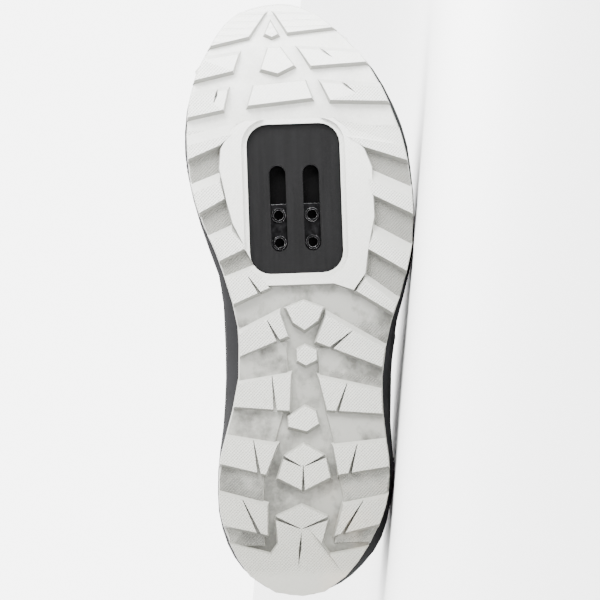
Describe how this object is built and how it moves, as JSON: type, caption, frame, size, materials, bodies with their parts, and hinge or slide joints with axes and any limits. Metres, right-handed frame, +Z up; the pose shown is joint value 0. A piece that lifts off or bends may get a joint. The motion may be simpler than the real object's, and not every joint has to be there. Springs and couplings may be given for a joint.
{
  "type": "cycling shoe",
  "caption": "Left off-road cycling shoe with a lugged rubber outsole, recessed cleat plate, hollow upper and hook-and-loop straps, lying on its outer side.",
  "frame": {"origin": "bottom centre of the bounding box of the shoe lying on its outer side", "axes": "+X towards the toe, +Z up towards the shoe's inner side, the sole faces -Y"},
  "size_m": [0.2488, 0.1208, 0.0997],
  "materials": {
    "outsole_rubber": "matte white moulded rubber",
    "midsole_foam": "dark moulded foam",
    "nylon": "fine grained black nylon",
    "steel": "black zinc plated",
    "synthetic": "smooth grey synthetic with mesh panels",
    "padding": "black padded textile",
    "footbed": "brushed textile",
    "strap": "black synthetic strap"
  },
  "bodies": {
    "shoe": {"outsole": "outsole_rubber", "midsole": "midsole_foam", "cleat_plate": "nylon", "upper": "synthetic", "tongue": "padding", "insole": "footbed", "strap_forefoot": "strap", "strap_instep": "strap"},
    "cleat_nut": {"cleat_nut_plate": "steel"}
  },
  "joints": [
    {"name": "nut_slide", "type": "slide", "parent": "shoe", "child": "cleat_nut", "axis": [0.9934, 0, 0.1149], "range_m": [0, 0.0171]}
  ]
}
